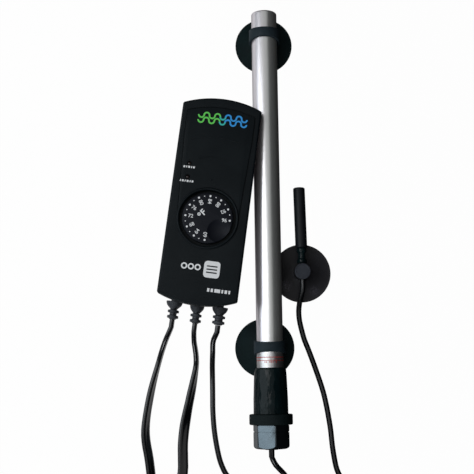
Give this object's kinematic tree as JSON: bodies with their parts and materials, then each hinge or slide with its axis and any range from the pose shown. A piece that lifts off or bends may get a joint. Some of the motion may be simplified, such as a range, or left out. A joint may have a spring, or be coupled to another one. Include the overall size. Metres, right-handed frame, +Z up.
{
  "type": "submersible aquarium heater",
  "caption": "Metal tube heater with suction cups, a corded dial controller box and a separate temperature probe on its own cup and cord.",
  "frame": {"origin": "centre of the controller's flat back, where it rests on the table", "axes": "+Z up from the table, +Y along the heater tube towards its closed end, +X from the controller towards the heater and the probe"},
  "size_m": [0.1882, 0.512, 0.0363],
  "materials": {
    "black_plastic": "satin, very slightly bluish black",
    "rear_plastic": "fine matte black",
    "dial_plastic": "satin black with white numerals",
    "black_rubber": "matte, slightly teal black",
    "cord_vinyl": "satin black vinyl",
    "shrink_film": "glossy black shrink film",
    "satin_titanium": "satin, drawn along its length",
    "cap_rubber": "matte grey",
    "zinc_steel": "zinc plated",
    "brass": "plain",
    "board_green": "solder resist",
    "component": "moulded component bodies",
    "winding_copper": "enamelled copper and resistance wire",
    "ceramic": "fired ceramic and packed magnesia",
    "lamp_lens": "dark red lens, unlit",
    "tie_nylon": "black nylon"
  },
  "bodies": {
    "root": {"front_cover": "black_plastic", "rear_cover": "rear_plastic", "circuit_board": "board_green", "pot_body": "zinc_steel", "relay": "component", "transformer": "winding_copper", "capacitor": "component", "fuse": "ceramic", "triac": "component", "terminal_block": "component", "power_lamp": "lamp_lens", "heater_lamp": "lamp_lens", "cover_screw_1": "zinc_steel", "cover_screw_2": "zinc_steel", "cover_screw_3": "zinc_steel", "cover_screw_4": "zinc_steel", "strain_relief_mains": "black_rubber", "strain_relief_heater": "black_rubber", "strain_relief_probe": "black_rubber", "sheath_tube": "satin_titanium", "ceramic_core": "ceramic", "element_winding": "winding_copper", "thermal_cutout": "ceramic", "filler_plug": "ceramic", "gland_body": "black_plastic", "shrink_sleeve": "shrink_film", "collar_ring": "black_rubber", "gland_seal": "black_rubber", "gland_nut": "black_plastic", "probe_capsule": "black_plastic", "thermistor": "ceramic", "probe_bushing": "shrink_film", "mains_cord": "cord_vinyl", "mains_coil": "cord_vinyl", "mains_tie": "tie_nylon", "mains_tail": "cord_vinyl", "plug_body": "cord_vinyl", "plug_blade_1": "brass", "plug_blade_2": "brass", "heater_cord": "cord_vinyl", "heater_coil": "cord_vinyl", "heater_tail": "cord_vinyl", "heater_tie": "tie_nylon", "probe_cord": "cord_vinyl", "probe_coil": "cord_vinyl", "probe_tail": "cord_vinyl", "probe_tie": "tie_nylon"},
    "dial": {"control_dial": "dial_plastic", "pot_shaft": "brass"},
    "upper_clip": {"upper_clip": "black_rubber"},
    "lower_clip": {"lower_clip": "black_rubber"},
    "upper_cup": {"upper_cup": "black_rubber"},
    "lower_cup": {"lower_cup": "black_rubber"},
    "probe_cup": {"probe_cup": "black_rubber", "probe_cup_cap": "cap_rubber"}
  },
  "joints": [
    {"name": "dial_turn", "type": "hinge", "parent": "root", "child": "dial", "pos_m": [-0.00163, -0.0127, 0.034], "axis": [0, 0, 1], "range_deg": [-90, 180]},
    {"name": "upper_clip_slide", "type": "slide", "parent": "root", "child": "upper_clip", "axis": [-0.0134, 0.9999, 0], "range_m": [-0.04, 0.009]},
    {"name": "lower_clip_slide", "type": "slide", "parent": "root", "child": "lower_clip", "axis": [-0.0134, 0.9999, 0], "range_m": [-0.006, 0.004]},
    {"name": "upper_cup_turn", "type": "hinge", "parent": "upper_clip", "child": "upper_cup", "pos_m": [0.03866, 0.12369, 0.005], "axis": [0, 0, 1], "continuous": true},
    {"name": "lower_cup_turn", "type": "hinge", "parent": "lower_clip", "child": "lower_cup", "pos_m": [0.04168, -0.10099, 0.005], "axis": [0, 0, 1], "continuous": true},
    {"name": "probe_cup_slide", "type": "slide", "parent": "root", "child": "probe_cup", "axis": [-0.0314, 0.9995, 0], "range_m": [-0.004, 0]}
  ]
}
